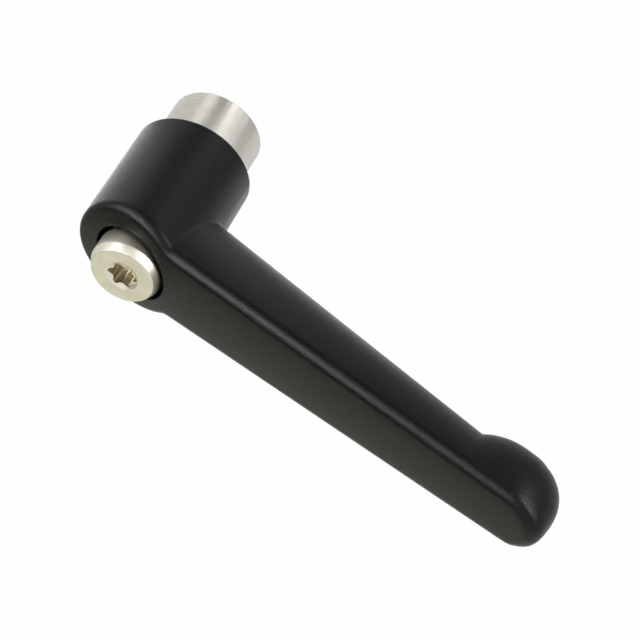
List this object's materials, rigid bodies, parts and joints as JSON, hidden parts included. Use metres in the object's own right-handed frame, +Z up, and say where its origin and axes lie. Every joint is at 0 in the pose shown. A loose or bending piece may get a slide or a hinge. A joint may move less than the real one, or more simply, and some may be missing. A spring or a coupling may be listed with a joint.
{
  "type": "adjustable clamping lever",
  "caption": "Adjustable clamping lever: a cast arm with a swelled end on a round hub, seated on a toothed, threaded insert and held down by a spring under a shouldered screw.",
  "frame": {"origin": "middle of the insert's lower face, on the axis of the clamping thread", "axes": "+Z up the hub's axis, out of the thread and towards the screw's head; +X level along the arm at rest; +Y to complete a right-handed frame"},
  "size_m": [0.0922, 0.0216, 0.0585],
  "materials": {
    "powder_coat": "fine-textured black powder coat on a zinc die casting",
    "turned_steel": "turned stainless steel",
    "screw_steel": "satin stainless steel",
    "spring_wire": "drawn stainless spring wire"
  },
  "bodies": {
    "insert": {"threaded_insert": "turned_steel", "retaining_screw": "screw_steel"},
    "spring": {"return_spring": "spring_wire"},
    "lever": {"lever": "powder_coat"}
  },
  "joints": [
    {"name": "lever_turn", "type": "hinge", "parent": "insert", "child": "spring", "pos_m": [0, 0, 0.014], "axis": [0, 0, 1], "continuous": true},
    {"name": "lever_lift", "type": "slide", "parent": "spring", "child": "lever", "axis": [0, 0, 1], "range_m": [0, 0.005], "stiffness_N_per_m": 2100, "springref_m": -0.004, "deforming": ["return_spring"]}
  ]
}
